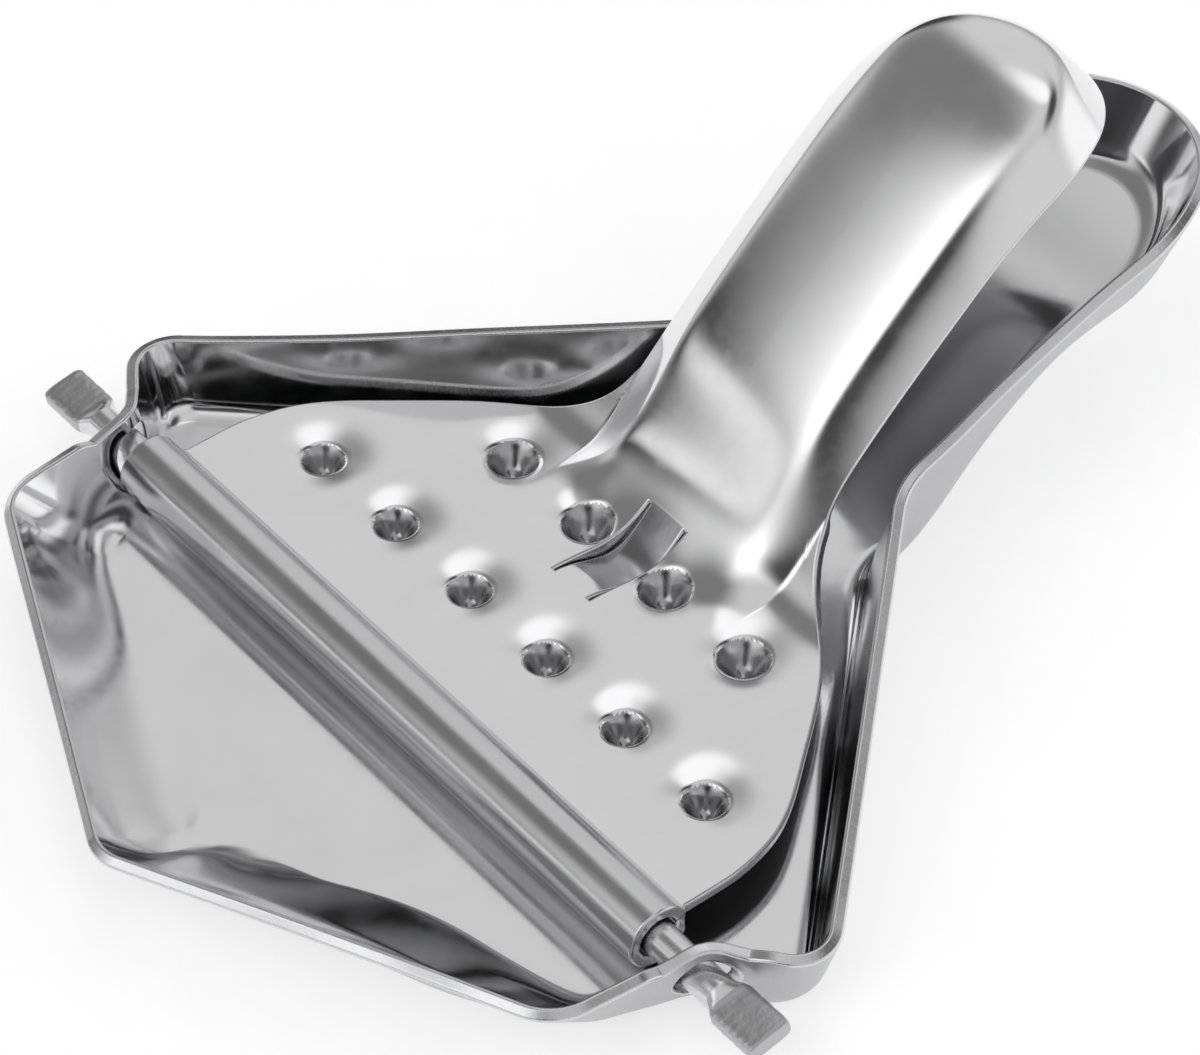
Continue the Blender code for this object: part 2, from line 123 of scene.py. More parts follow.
EDGE_STATIONS = ((20.0, 3.5), (21.6, 3.6), (23.0, 4.7), (24.2, 6.1), (25.6, 7.9), (27.5, 10.0),
                 (29.5, 12.0), (32.3, 14.7), (35.1, 17.3), (38.0, 19.9), (40.9, 22.0),
                 (43.7, 23.4), (46.5, 24.0), (49.4, 23.9), (51.8, 23.2))
RISE_STATIONS = ((17.6, 0.0), (19.0, 0.25), (20.3, 0.9), (22.0, 2.0), (24.0, 2.9), (27.0, 3.5),
                 (31.0, 3.6), (52.0, 3.6))
PROFILE_SOFTNESS = 0.8
WIDTH_SOFTNESS = 0.7
NECK_END = 24.0
HANDLE_ROWS = 72
CORE_HALF = 3.0
FULL_HALF = 23.6
GRID_STEP = 0.15

# ---- teeth and lanced strip --------------------------------------------------------------
TOOTH_PITCH = 7.2
FRONT_ROW_Y = 8.5
BACK_ROW_Y = 17.4
FRONT_PIT = 1.45
BACK_PIT = 1.75
DRAW_DEPTH = 0.55
DRAW_REACH = 2.5
DRAW_LIMIT = 9.0
BOWL_BOTTOM = 0.20
BOWL_DISH = 0.10
FOOT_BOTTOM = 0.45
FOOT_SPREAD = 0.75
PIT_SHADE_SHARE = 0.93        # inner part of each dimple that takes the darker steel painting the pit's shade
PIT_TOP_Z = 1.62
FOOT_Z = 1.13
SLOT_START = 13.1
SLOT_END = 20.6
SLOT_INNER = 1.36
SLOT_OUTER = 1.87
STRIP_DROP = 0.85
STRIP_SKEW = 1.3
STRIP_POWER = 1.3
# from this far behind the slot's start the strip takes darker steel that paints its shade
STRIP_SHADE_START = 1.5

# ---- pin ---------------------------------------------------------------------------------
PIN_RADIUS = 1.08
PIN_HALF_LENGTH = 33.5
PIN_SHIFT = -0.5
PIN_ROUND_HALF = 29.2
PIN_FLAT_HALF = 30.5
PIN_FLAT_WIDTH = 2.9
PIN_FLAT_THICKNESS = 1.25
PIN_FLAT_ROLL = math.radians(11.0)
PIN_FLAT_SHOULDER = 0.2
PIN_FLAT_SQUARENESS = 0.55
PIN_END_ROUND = ((0.0, 0.86), (0.02, 0.92), (0.08, 0.96), (0.18, 0.99))
PIN_END_THINNING = 0.9
PIN_RIPPLE = 0.012
PIN_SEGMENTS = 96
PIN_STEP = 0.06
PIN_ROUND_RINGS = 60
PIN_CAP_LOOPS = (0.6, 0.25)
STAKED_LENGTH = 0.6

EDGE_ROUND = 0.20
RIM_INSET = 1.25 * EDGE_ROUND
ROUND_STEPS = 4

# ---- material places: both sheets, then the plate -----------------------------------------
FACE, CUT, SHADED_TRAY_OUTSIDE = 0, 1, 2
BARREL, SHADED_UNDERSIDE, SHADED_RECESS = 2, 3, 4


# ==== curves ==============================================================================

def cubic(stations, values):
    """Monotone cubic interpolation through (position, value) stations."""
    xs = np.array([s[0] for s in stations], float)
    ys = np.array([s[1] for s in stations], float)
    slopes = np.diff(ys) / np.diff(xs)
    tangents = np.zeros(len(xs))
    a, b = slopes[:-1], slopes[1:]
    same = a * b > 0.0
    tangents[1:-1][same] = 2.0 * a[same] * b[same] / (a[same] + b[same])
    tangents[-1] = slopes[-1]
    v = np.clip(np.asarray(values, float), xs[0], xs[-1])
    i = np.clip(np.searchsorted(xs, v, side="right") - 1, 0, len(xs) - 2)
    h = xs[i + 1] - xs[i]
    t = (v - xs[i]) / h
    first = ys[i] * (2 * t ** 3 - 3 * t ** 2 + 1) + h * tangents[i] * (t ** 3 - 2 * t ** 2 + t)
    second = ys[i + 1] * (3 * t ** 2 - 2 * t ** 3) + h * tangents[i + 1] * (t ** 3 - t ** 2)
    return first + second


class Profile:
    """Smooth curve near the stations: the cubic, softened over a short length."""

    def __init__(self, stations, softness):
        step = 0.05
        reach = int(4 * softness / step)
        low = stations[0][0] - 4 * softness
        high = stations[-1][0] + 4 * softness
        self.at = np.arange(low - reach * step, high + (reach + 1) * step, step)
        raw = cubic(stations, self.at)
        last = stations[-1][0]
        end_slope = raw[-1] - cubic(stations, [last - 1.0])[0]
        raw = raw + end_slope * np.maximum(self.at - last, 0.0)
        kernel = np.exp(-0.5 * (np.arange(-reach, reach + 1) * step / softness) ** 2)
        kernel /= kernel.sum()
        self.value = np.convolve(np.pad(raw, reach, mode="edge"), kernel, mode="valid")

    def __call__(self, v):
        return np.interp(v, self.at, self.value)


def smoothstep(low, high, v):
    """0 up to low, 1 from high, smooth in between."""
    t = np.clip((np.asarray(v, float) - low) / (high - low), 0.0, 1.0)
    return t * t * (3.0 - 2.0 * t)


# ==== mesh tools ==========================================================================

def relabel(faces, remap):
    """Faces with new vertex numbers, without repeats and without collapsed faces."""
    out = []
    for face in faces:
        loop = []
        for vertex in face:
            new = int(remap[vertex])
            if new not in loop:
                loop.append(new)
        if len(loop) >= 3:
            out.append(tuple(loop))
    return out


def compact(faces):
    """Vertices that the faces use, and the faces renumbered to them."""
    used = sorted({v for f in faces for v in f})
    place = {v: k for k, v in enumerate(used)}
    return used, [tuple(place[v] for v in f) for f in faces]


def reverse(faces, offset=0):
    return [tuple(offset + v for v in reversed(f)) for f in faces]


def weld(points, faces, tolerance=0.002):
    """Merge coincident points and drop what collapses."""
    keys = np.round(points / tolerance).astype(np.int64)
    _, first, remap = np.unique(keys, axis=0, return_index=True, return_inverse=True)
    remap = remap.reshape(-1)
    kept = points[first]
    return kept, relabel(faces, remap), remap


def grid_faces(rows, columns, skip=None):
    """Quads of a grid of vertices, leaving out the skipped cells."""
    faces = []
    for i in range(rows - 1):
        for j in range(columns - 1):
            if skip is not None and skip[i, j]:
                continue
            a = i * columns + j
            faces.append((a, a + 1, a + columns + 1, a + columns))
    return faces


def vertex_normals(points, faces):
    """Area-weighted unit normals."""
    total = np.zeros_like(points)
    quads = np.array([f if len(f) == 4 else (f[0], f[1], f[2], f[2]) for f in faces])
    p = points[quads]
    cross = np.cross(p[:, 2] - p[:, 0], p[:, 3] - p[:, 1])
    for k in range(4):
        np.add.at(total, quads[:, k], cross)
    length = np.linalg.norm(total, axis=1, keepdims=True)
    return total / np.maximum(length, 1e-12)


def boundary_edges(faces):
    """Directed edges that belong to one face only, face on the left."""
    seen = set()
    for face in faces:
        for k in range(len(face)):
            seen.add((face[k], face[(k + 1) % len(face)]))
    return [(a, b) for a, b in seen if (b, a) not in seen]


def make_mesh(name, points, faces, normals, materials, indices, body, node):
    """Scene object that rides on one body and stands for its CAD node."""
    mesh = bpy.data.meshes.new(name)
    mesh.from_pydata((points * MM).tolist(), [], faces)
    for material in materials:
        mesh.materials.append(material)
    mesh.polygons.foreach_set("material_index", indices)
    mesh.shade_smooth()
    mesh.update()
    if normals is not None:
        mesh.normals_split_custom_set_from_vertices(normals.tolist())
    made = bpy.data.objects.new(name, mesh)
    bpy.context.scene.collection.objects.link(made)
    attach(made, body)
    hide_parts(node)
    return made


def thick_sheet(top, bottom, faces):
    """Closed sheet between two matching surfaces, with rounded cut edges.

    Returns points, faces, normals and, for every face, whether it is on a cut edge."""
    count = len(top)
    n_top = vertex_normals(top, faces)
    n_bottom = -vertex_normals(bottom, faces)
    edges = boundary_edges(faces)
    after = dict(edges)
    before = {b: a for a, b in edges}
    rim = sorted(after)
    place = {v: k for k, v in enumerate(rim)}
    t = top[rim]
    b = bottom[rim]
    up = t - b
    depth = np.linalg.norm(up, axis=1, keepdims=True)
    up = up / np.maximum(depth, 1e-9)
    middle = 0.5 * (top + bottom)
    along = middle[[after[v] for v in rim]] - middle[[before[v] for v in rim]]
    along /= np.maximum(np.linalg.norm(along, axis=1, keepdims=True), 1e-9)
    out = np.cross(along, up)
    out /= np.maximum(np.linalg.norm(out, axis=1, keepdims=True), 1e-9)
    c = np.minimum(EDGE_ROUND, 0.45 * depth)
    layers, layer_normals = [], []
    for k in range(1, ROUND_STEPS + 1):
        turn = 0.5 * math.pi * k / ROUND_STEPS
        layers.append(t + out * c * math.sin(turn) - up * c * (1.0 - math.cos(turn)))
        layer_normals.append(up * math.cos(turn) + out * math.sin(turn))
    for k in range(ROUND_STEPS, 0, -1):
        turn = 0.5 * math.pi * k / ROUND_STEPS
        layers.append(b + out * c * math.sin(turn) + up * c * (1.0 - math.cos(turn)))
        layer_normals.append(-up * math.cos(turn) + out * math.sin(turn))
    points = np.vstack([top, bottom] + layers)
    normals = np.vstack([n_top, n_bottom] + layer_normals)
    shape = [tuple(f) for f in faces] + reverse(faces, count)
    edge_flag = [0] * len(shape)
    base = 2 * count
    total = len(rim)

    def at(layer, v):
        if layer == 0:
            return v
        if layer == len(layers) + 1:
            return count + v
        return base + (layer - 1) * total + place[v]

    for first, second in edges:
        for layer in range(len(layers) + 1):
            shape.append((at(layer, second), at(layer, first),
                          at(layer + 1, first), at(layer + 1, second)))
            edge_flag.append(1)
    return points, shape, normals, np.array(edge_flag)


# ==== tray ================================================================================

def corner_arc(before, corner, after, radius, steps):
    """Points along the arc that rounds a corner between two straight lines."""
    c = np.array(corner, float)
    a = np.array(before, float) - c
    b = np.array(after, float) - c
    a /= np.linalg.norm(a)
    b /= np.linalg.norm(b)
    half = 0.5 * math.acos(float(np.clip(a @ b, -1, 1)))
    reach = radius / math.tan(half)
    bisector = (a + b) / np.linalg.norm(a + b)
    centre = c + bisector * (radius / math.sin(half))
    start, end = c + a * reach, c + b * reach
    s, e = (start - centre) / radius, (end - centre) / radius
    sweep = math.acos(float(np.clip(s @ e, -1, 1)))
    points = []
    for i in range(steps + 1):
        t = i / steps
        p = (math.sin((1 - t) * sweep) * s + math.sin(t * sweep) * e) / math.sin(sweep)
        points.append(centre + p * radius)
    return points


def outline(apex, corners, cap):
    """Half outline of the tray in plan, from the front tip to the end of the handle."""
    tip = np.array((0.0, apex[1]))
    nodes = [np.array(c[:2], float) for c in corners]
    cap_start = np.array(cap[:2], float)
    twin = np.array((-nodes[0][0], nodes[0][1]))
    points = corner_arc(twin, tip, nodes[0], apex[2], 2 * APEX_STEPS)[APEX_STEPS:]
    chain = [tip] + nodes + [cap_start]
    for i, corner in enumerate(corners):
        arc = corner_arc(chain[i], chain[i + 1], chain[i + 2], corner[2], CORNER_STEPS)
        steps = EDGE_STEPS[i]
        last = points[-1]
        points += [last + (arc[0] - last) * k / steps for k in range(1, steps)]
        points += arc
    steps = EDGE_STEPS[-1]
    last = points[-1]
    points += [last + (cap_start - last) * k / steps for k in range(1, steps)]
    for k in range(CAP_STEPS + 1):
        turn = 0.5 * math.pi * k / CAP_STEPS
        points.append(np.array((cap[0] * math.cos(turn), cap[1] + cap[2] * math.sin(turn))))
    points = np.array(points)
    points[0, 0] = 0.0
    points[-1, 0] = 0.0
    return points


def bowed(points):
    """Near side only: the foot of the front ramp swings inwards in the middle."""
    reach, limit = FLOOR_CORNERS[0][0], FLOOR_CORNERS[0][1]
    out = points.copy()
    for p in out:
        if p[1] < limit and p[0] < reach:
            p[1] += FRONT_BOW * math.sin(math.pi * p[0] / reach) ** 2
    return out


def inward_normals(points):
    """Unit normals in plan, towards the inside of the tray."""
    step = np.diff(points, axis=0)
    step /= np.linalg.norm(step, axis=1, keepdims=True)
    along = step[:-1] + step[1:]
    along /= np.linalg.norm(along, axis=1, keepdims=True)
    inner = np.stack([-along[:, 1], along[:, 0]], axis=1)
    return np.vstack([[0.0, 1.0], inner, [0.0, -1.0]])


def near_rise(u, run, rise):
    """Even ramp, then an upturned lip at the rim; 0 to 1."""
    fine = np.linspace(0.0, 1.0, 401)
    low, high = NEAR_RAMP_SLOPES
    even = (low + (high - low) * fine) * run / rise
    slope = even * smoothstep(0.0, NEAR_RAMP_FOOT, fine)
    lip = smoothstep(1.0 - 1.6 * NEAR_LIP, 1.0 - 0.4 * NEAR_LIP, fine)
    slope = slope + lip * max(1.0 - slope.mean(), 0.0) / lip.mean()
    total = np.concatenate([[0.0], np.cumsum(0.5 * (slope[1:] + slope[:-1]))])
    return np.interp(u, fine, total / total[-1])


def front_ramp(edge, normal, top, floor_z, far_share):
    """Ramp in front of the barrel: gently dished on the far side, even on the near side."""
    u = np.arange(FILLET_STEPS + WALL_STEPS + 1) / (FILLET_STEPS + WALL_STEPS)
    lines = []
    tip_reach = TIP_REACH + TIP_REACH_GROWTH * edge[0]
    for far in (True, False):
        reach = NEAR_RAMP_REACH
        if far:
            fade = 1.0 - float(smoothstep(*FAR_REACH_FADE, edge[0]))
            reach += (FAR_RAMP_REACH - NEAR_RAMP_REACH) * fade
        if normal[0] < -1e-9:
            reach = min(reach, MIDDLE_SHARE * edge[0] / -normal[0])
        reach *= math.tanh(tip_reach / reach)
        inner = edge + normal * reach
        run = float(np.hypot(*(top[:2] - inner)))
        rise = top[2] - floor_z
        share = u ** FAR_RAMP_POWER if far else near_rise(u, run, rise)
        flat = inner + (top[:2] - inner) * u[:, None]
        lines.append(np.column_stack([flat, floor_z + rise * share]))
    return lines[0] * far_share + lines[1] * (1.0 - far_share)


def tray_half(far):
    """Rows of points across one half: floor from the middle, fillet, wall up to the rim."""
    rim = outline(RIM_APEX, RIM_CORNERS, RIM_CAP)
    edge = outline(FLOOR_APEX, FLOOR_CORNERS, FLOOR_CAP)
    if not far:
        edge = bowed(edge)
    normal = inward_normals(edge)
    rim_height = Profile(RIM_STATIONS, RIM_SOFTNESS)
    floor_height = Profile(FLOOR_STATIONS, FLOOR_SOFTNESS)
    ramp_fade = FAR_RAMP_FADE if far else NEAR_RAMP_FADE
    rows = []
    for r, e, n in zip(rim, edge, normal):
        top = np.array((r[0], r[1], rim_height(r[1])))
        foot = np.array((e[0], e[1], floor_height(e[1])))
        reach = FLOOR_FILLET
        if n[0] < 0.0:
            reach = min(reach, MIDDLE_SHARE * e[0] / -n[0])
        inner = e + n * reach
        start = np.array((inner[0], inner[1], floor_height(inner[1])))
        direction = (top - foot) / np.linalg.norm(top - foot)
        rise = foot + direction * FLOOR_FILLET
        top = top - direction * RIM_INSET
        side = []
        for k in range(FILLET_STEPS + 1):
            t = k / FILLET_STEPS
            side.append(start * (1 - t) ** 2 + foot * 2 * t * (1 - t) + rise * t ** 2)
        for k in range(1, WALL_STEPS + 1):
            side.append(rise + (top - rise) * k / WALL_STEPS)
        side = np.array(side)
        front = 0.0
        if r[1] < 0.0:
            front = 1.0 - float(smoothstep(*ramp_fade, r[0]))
        if front > 0.0:
            far_share = 1.0 if far else 1.0 - float(smoothstep(*NEAR_RAMP_START, r[0]))
            ramp = front_ramp(e, n, top, foot[2], far_share)
            side = side * (1.0 - front) + ramp * front
        start = side[0]
        row = []
        for k in range(FLOOR_COLUMNS):
            row.append(np.array((start[0] * k / FLOOR_COLUMNS, start[1], start[2])))
        row = np.vstack([row, side])
        if r[0] < 1e-9:
            row[:, 0] = 0.0
        rows.append(row)
    return np.array(rows)


def pierce(grid):
    """Open the pin hole: a block of cells is taken out and its border becomes a circle."""
    rows, columns = grid.shape[:2]
    first = FLOOR_COLUMNS
    near = [i for i in range(rows) if abs(grid[i, -WALL_STEPS, 1]) < HOLE_ZONE]
    wall = grid[near][:, first:]
    y_mid = wall[:, FILLET_STEPS + WALL_STEPS // 2, 1]
    rows_in = [near[k] for k in range(len(near)) if abs(y_mid[k]) <= HOLE_RADIUS]
    z_line = wall[len(near) // 2, :, 2]
    cols_in = [first + k for k, z in enumerate(z_line) if abs(z - HINGE_Z) <= HOLE_RADIUS]
    i0, i1 = rows_in[0], rows_in[-1]
    j0, j1 = cols_in[0], cols_in[-1]
    ic, jc = 0.5 * (i0 + i1), 0.5 * (j0 + j1)
    hi, hj = 0.5 * (i1 - i0), 0.5 * (j1 - j0)

    def surface_x(y, z):
        """x of the wall at a height and a place along it."""
        xs, ys = [], []
        for i in near:
            line = grid[i, first:]
            ys.append(np.interp(z, line[:, 2], line[:, 1]))
            xs.append(np.interp(z, line[:, 2], line[:, 0]))
        return np.interp(y, ys, xs)

    moved = grid.copy()
    for i in range(rows):
        for j in range(first, columns):
            m = max(abs(i - ic) / hi, abs(j - jc) / hj)
            if m < 0.999 or m > HOLE_BLEND:
                continue
            p = grid[i, j, 1:] - np.array((0.0, HINGE_Z))
            d = float(np.linalg.norm(p))
            share = float(smoothstep(1.0, HOLE_BLEND, m))
            target = HOLE_RADIUS * m + (d - HOLE_RADIUS * m) * share
            q = p * (target / d) + np.array((0.0, HINGE_Z))
            if q[1] > grid[i, -1, 2] or q[1] < grid[i, first, 2]:
                continue
            moved[i, j] = (surface_x(q[0], q[1]), q[0], q[1])
    skip = np.zeros((rows - 1, columns - 1), bool)
    skip[i0:i1, j0:j1] = True
    return moved, skip


def drilled(top, under, normals):
    """Underside of the walls with the pin hole going straight through along the pin."""
    distance = np.hypot(top[:, 1], top[:, 2] - HINGE_Z)
    side = np.sign(normals[:, 0])
    facing = np.abs(normals[:, 0])
    near = 1.0 - smoothstep(HOLE_RADIUS, HOLE_BLEND * HOLE_RADIUS, distance)
    share = near * smoothstep(*DRILL_FACING, facing) * (np.abs(top[:, 0]) > WALL_X)
    straight = top.copy()
    straight[:, 0] -= side * TRAY_SHEET / np.maximum(facing, STEEPEST_FACING)
    return under + (straight - under) * share[:, None]


def build_tray(materials):
    """Both halves of the tray and its handle, welded along the middle, as one sheet."""
    mirror = (-1, 1, 1)
    near_half, far_half = tray_half(False), tray_half(True)
    rows, columns = near_half.shape[:2]
    total = rows * columns
    near_cut, skip = pierce(near_half)
    far_cut, _ = pierce(far_half)

    faces = grid_faces(rows, columns)
    whole = np.vstack([near_half.reshape(-1, 3), far_half.reshape(-1, 3) * mirror])
    points, welded, remap = weld(whole, faces + reverse(faces, total))
    normals = vertex_normals(points, welded)[remap]
    top = np.vstack([near_cut.reshape(-1, 3), far_cut.reshape(-1, 3) * mirror])
    under = drilled(top, top - normals * TRAY_SHEET, normals)

    kept = grid_faces(rows, columns, skip)
    merged = relabel(kept + reverse(kept, total), remap)
    welded_top = np.zeros((len(points), 3))
    welded_under = np.zeros((len(points), 3))
    welded_top[remap] = top
    welded_under[remap] = under
    used, merged = compact(merged)
    welded_top = welded_top[used]
    welded_under = welded_under[used]
    welded_under[:, 2] = np.maximum(welded_under[:, 2], LOWEST)

    points, shape, normals, index = thick_sheet(welded_top, welded_under, merged)
    # the sheet's underside, outer walls included, takes darker steel that paints shade on the
    # tray's outside
    index[len(merged):2 * len(merged)] = SHADED_TRAY_OUTSIDE
    return make_mesh("press_tray", points, shape, normals, materials, index, "tray", "tray")


# ==== press plate =========================================================================

def dome(s):
    """Height of the handle's cross-section, 1 in the middle and 0 at the edge."""
    scale = 1.0 - SHOULDER

    def ramp(t):
        return 0.5 * (t + np.sqrt(t * t + SHOULDER_SOFTNESS ** 2 / scale))

    low = ramp(-SHOULDER / scale)
    fall = (ramp((s - SHOULDER) / scale) - low) / (ramp(1.0) - low)
    return np.where(s >= 1.0, 0.0, 1.0 - CROWN * s * s - (1.0 - CROWN) * fall)


def reach_factor(x, y):
    """0 on the centreline of the handle, 1 on its edge, round at the end."""
    past = np.maximum(y - CAP_CENTRE, 0.0) / CAP_LENGTH
    return np.hypot(x / HANDLE_HALF, past)


edge_height = Profile(EDGE_STATIONS, PROFILE_SOFTNESS)
rise_height = Profile(RISE_STATIONS, PROFILE_SOFTNESS)
plate_half = Profile(WIDTH_STATIONS, WIDTH_SOFTNESS)


def plate_height(x, y):
    """Top of the plate and the handle."""
    return edge_height(y) + rise_height(y) * dome(reach_factor(x, y))


def barrel_profile():
    """(y, z) about the hinge axis: the rolled barrel and the bend up to the plate."""
    drop = (PLATE_TOP - HINGE_Z) - BEND_RADIUS
    reach = BARREL_INNER + BEND_RADIUS
    join = math.asin(drop / reach)
    line = []
    for k in range(BARREL_STEPS + 1):
        turn = BARREL_FREE_EDGE + (2 * math.pi + join - BARREL_FREE_EDGE) * k / BARREL_STEPS
        line.append((BARREL_INNER * math.cos(turn), BARREL_INNER * math.sin(turn)))
    centre_y = reach * math.cos(join)
    for k in range(1, BEND_STEPS + 1):
        turn = (math.pi + join) + (0.5 * math.pi - math.pi - join) * k / BEND_STEPS
        line.append((centre_y + BEND_RADIUS * math.cos(turn),
                     drop + BEND_RADIUS * math.sin(turn)))
    return np.array(line)


def column_places():
    """Column positions at full width, with lines on the edges of the two slits."""
    inner = np.linspace(0.0, SLOT_INNER, 9)
    slit = np.linspace(SLOT_INNER, SLOT_OUTER, 4)[1:]
    core = np.linspace(SLOT_OUTER, CORE_HALF, 10)[1:]
    steps = int((FULL_HALF - CORE_HALF) / GRID_STEP)
    rest = np.linspace(CORE_HALF, FULL_HALF, steps)[1:]
    half = np.concatenate([inner, slit, core, rest])
    return np.concatenate([-half[:0:-1], half])


def spread(columns, width):
    """Columns squeezed to a smaller half width, leaving the middle ones in place."""
    size = np.abs(columns)
    out = CORE_HALF + (size - CORE_HALF) * (width - CORE_HALF) / (FULL_HALF - CORE_HALF)
    return np.sign(columns) * np.where(size <= CORE_HALF, size, out)


def tooth_places():
    """(x, y, dimple radius) of the ten teeth."""
    places = []
    for k in range(6):
        places.append(((k - 2.5) * TOOTH_PITCH, FRONT_ROW_Y, FRONT_PIT))
    for k in range(4):
        places.append(((k - 1.5) * TOOTH_PITCH, BACK_ROW_Y, BACK_PIT))
    return places


def teeth_drop(x, y, under):
    """How far the teeth take the top or the underside of the sheet down."""
    total = np.zeros_like(x)
    for px, py, pit in tooth_places():
        r = np.hypot(x - px, y - py)
        draw = DRAW_DEPTH * np.exp(-(r / DRAW_REACH) ** 2)
        if under:
            depth = PLATE_TOP - PLATE_SHEET - DRAW_DEPTH - FOOT_Z
            low, high = FOOT_BOTTOM * pit, pit + FOOT_SPREAD
            dish = 0.0
        else:
            depth = PLATE_TOP - DRAW_DEPTH - PIT_TOP_Z
            low, high = BOWL_BOTTOM * pit, pit + 0.05
            dish = BOWL_DISH * np.clip(1.0 - (r / low) ** 2, 0.0, 1.0)
        t = np.clip((r - low) / (high - low), 0.0, 1.0)
        bowl = depth * 0.5 * (1.0 + np.cos(math.pi * t))
        total += np.where(r < DRAW_LIMIT, draw + bowl + dish, 0.0)
    return total


def strip_drop(x, y):
    """How far the lanced strip is pressed down."""
    along = np.clip((y - SLOT_START) / (SLOT_END - SLOT_START), 0.0, 1.0)
    bow = np.sin(math.pi * along ** STRIP_SKEW) ** STRIP_POWER
    return np.where(np.abs(x) <= SLOT_INNER + 1e-6, STRIP_DROP * bow, 0.0)


def plate_grid():
    """Rows of points over the barrel, the plate and the handle, before any teeth."""
    columns = column_places()
    plan, kinds = [], []
    profile = barrel_profile()
    for index, (y, z) in enumerate(profile):
        width = BARREL_HALF
        if index > BARREL_STEPS:
            share = (index - BARREL_STEPS) / (BEND_STEPS + 1)
            width += (FULL_HALF - BARREL_HALF) * share
        width -= EDGE_ROUND
        x = spread(columns, width)
        plan.append(np.stack([x, np.full_like(x, y), np.full_like(x, z + HINGE_Z)], axis=1))
        kinds.append(0)
    start = profile[-1][0]
    slot_rows = np.linspace(SLOT_START, SLOT_END, 51)
    front_rows = np.linspace(start, SLOT_START, int((SLOT_START - start) / GRID_STEP) + 1)[1:]
    back_rows = np.arange(SLOT_END, NECK_END, GRID_STEP)[1:]
    handle_rows = np.linspace(back_rows[-1], CAP_CENTRE, HANDLE_ROWS)[1:]
    for y in np.concatenate([front_rows, slot_rows[1:], back_rows, handle_rows]):
        width = float(plate_half(y)) - EDGE_ROUND
        x = spread(columns, width)
        plan.append(np.stack([x, np.full_like(x, y), plate_height(x, y)], axis=1))
        kinds.append(1)
    width = float(plate_half(CAP_CENTRE)) - EDGE_ROUND
    f = spread(columns, width) / width
    for k in range(1, CAP_ROWS + 1):
        v = math.sin(0.5 * math.pi * k / CAP_ROWS) ** 0.9
        x = f * width * math.sqrt(1.0 - 0.5 * v * v)
        y = CAP_CENTRE + (CAP_LENGTH - EDGE_ROUND) * v * np.sqrt(1.0 - 0.5 * f * f)
        plan.append(np.stack([x, y, plate_height(x, y)], axis=1))
        kinds.append(1)
    return np.array(plan), np.array(kinds), columns


def build_plate(materials):
    """Barrel, plate, teeth, strip and upper handle as one sheet."""
    grid, kinds, columns = plate_grid()
    rows, count = grid.shape[:2]
    flat = grid.reshape(-1, 3)
    faces = grid_faces(rows, count)
    normals = vertex_normals(flat, faces)
    flipped = normals[-count * 20:, 2].sum() < 0.0
    if flipped:
        normals = -normals
    under = flat - normals * PLATE_SHEET
    sheet = np.repeat(kinds, count).astype(bool)
    top = flat.copy()
    top[sheet, 2] -= teeth_drop(flat[sheet, 0], flat[sheet, 1], False)
    under[sheet, 2] -= teeth_drop(under[sheet, 0], under[sheet, 1], True)
    fall = strip_drop(flat[:, 0], flat[:, 1]) * sheet
    top[:, 2] -= fall
    under[:, 2] -= fall
    skip = np.zeros((rows - 1, count - 1), bool)
    y_line = grid[:, count // 2, 1]
    for i in range(rows - 1):
        if not (kinds[i] and kinds[i + 1]):
            continue
        if y_line[i] < SLOT_START - 1e-6 or y_line[i + 1] > SLOT_END + 1e-6:
            continue
        for j in range(count - 1):
            middle = abs(0.5 * (columns[j] + columns[j + 1]))
            skip[i, j] = SLOT_INNER < middle < SLOT_OUTER
    kept = grid_faces(rows, count, skip)
    if flipped:
        kept = reverse(kept)
    used, kept = compact(kept)
    top, under = top[used], under[used]
    is_barrel = ~sheet[used]
    points, shape, normals, index = thick_sheet(top, under, kept)
    points[:, 0] += PLATE_SHIFT
    total = len(kept)
    # underside faces take the darkened steel that paints the shade under the plate
    index[total:2 * total] = SHADED_UNDERSIDE
    teeth = tooth_places()
    for k, face in enumerate(kept):
        if all(is_barrel[v] for v in face):
            index[k] = BARREL
            index[total + k] = BARREL
            continue
        # faces inside a tooth pit or on the pressed-down strip take darker steel that paints their
        # shade
        x, y, _ = top[list(face)].mean(axis=0)
        in_tooth = any(math.hypot(x - px, y - py) < PIT_SHADE_SHARE * pit for px, py, pit in teeth)
        on_strip = SLOT_START + STRIP_SHADE_START < y < SLOT_END and abs(x) < SLOT_INNER
        if in_tooth or on_strip:
            index[k] = SHADED_RECESS
    return make_mesh("press_plate_sheet", points, shape, normals, materials, index,
                     "press_plate", "press_plate")


# ==== pin =================================================================================

def pin_ring(x, flat, shrink):
    """Ring of points round the rod; flat is 0 on the round part and 1 on the staked end."""
    turn = 2 * math.pi * (np.arange(PIN_SEGMENTS) + 0.5) / PIN_SEGMENTS
    wide = (PIN_RADIUS + (0.5 * PIN_FLAT_WIDTH - PIN_RADIUS) * flat) * shrink
    thick = PIN_RADIUS + (0.5 * PIN_FLAT_THICKNESS - PIN_RADIUS) * flat
    thick -= (1.0 - shrink) * PIN_END_THINNING
    power = 1.0 - PIN_FLAT_SQUARENESS * flat
    c = np.sign(np.cos(turn)) * np.abs(np.cos(turn)) ** power * wide
    s = np.sign(np.sin(turn)) * np.abs(np.sin(turn)) ** power * thick
    y = c * math.cos(PIN_FLAT_ROLL) - s * math.sin(PIN_FLAT_ROLL)
    z = c * math.sin(PIN_FLAT_ROLL) + s * math.cos(PIN_FLAT_ROLL)
    waves = np.sin(9.0 * x + 5.0 * np.cos(turn)) * np.cos(4.0 * turn + 3.1 * x)
    ripple = 1.0 + PIN_RIPPLE * flat * waves
    return np.stack([np.full_like(y, x + PIN_SHIFT), y * ripple, HINGE_Z + z * ripple], axis=1)


